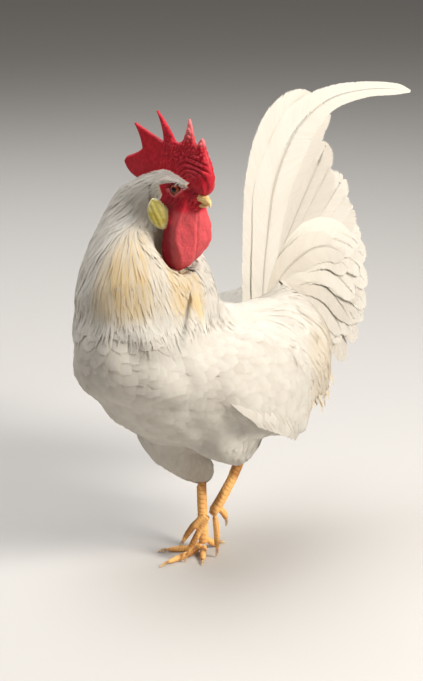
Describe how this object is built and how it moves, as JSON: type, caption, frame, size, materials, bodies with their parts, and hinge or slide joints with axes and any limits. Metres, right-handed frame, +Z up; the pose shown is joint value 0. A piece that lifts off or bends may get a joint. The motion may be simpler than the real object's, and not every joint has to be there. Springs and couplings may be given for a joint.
{
  "type": "rooster",
  "caption": "Still life-size model of a white rooster in mid-step, head turned to its left, with a single pointed comb, wattles, pale ear lobes and a high sickle-feathered tail",
  "frame": {"origin": "Middle of the bounding box on the floor, the level that the planted foot stands on", "axes": "+Z is up. -Y is the way that the body faces and walks, the tail is to +Y, and +X is the bird's left, the way that the turned head looks"},
  "size_m": [0.2028, 0.5346, 0.529],
  "materials": {
    "white_plumage": "soft matt white feathers",
    "cream_plumage": "long silky cream and straw feathers",
    "red_skin": "pimpled satin red skin",
    "ear_lobe": "smooth pale yellow skin",
    "horn": "smooth yellow horn",
    "leg_scale": "satin orange-yellow scales",
    "eye": "wet gloss, red-brown"
  },
  "bodies": {
    "root": {"beak_lower": "horn", "beak_upper": "horn", "claw_1_left": "horn", "claw_1_right": "horn", "claw_2_left": "horn", "claw_2_right": "horn", "claw_3_left": "horn", "claw_3_right": "horn", "claw_4_left": "horn", "claw_4_right": "horn", "comb": "red_skin", "earlobe_left": "ear_lobe", "earlobe_right": "ear_lobe", "eye_left": "eye", "eye_right": "eye", "head": "red_skin", "neck": "cream_plumage", "saddle_left": "white_plumage", "saddle_right": "white_plumage", "shank_left": "leg_scale", "shank_right": "leg_scale", "sickle_left": "white_plumage", "sickle_right": "white_plumage", "tail_coverts_left": "white_plumage", "tail_coverts_right": "white_plumage", "tail_feathers_left": "white_plumage", "tail_feathers_right": "white_plumage", "tail_middle": "white_plumage", "tail_root": "white_plumage", "thigh_left": "white_plumage", "thigh_right": "white_plumage", "toe_1_left": "leg_scale", "toe_1_right": "leg_scale", "toe_2_left": "leg_scale", "toe_2_right": "leg_scale", "toe_3_left": "leg_scale", "toe_3_right": "leg_scale", "toe_4_left": "leg_scale", "toe_4_right": "leg_scale", "trunk": "white_plumage", "wattle_left": "red_skin", "wattle_right": "red_skin", "wing_left": "white_plumage", "wing_right": "white_plumage"}
  },
  "joints": []
}
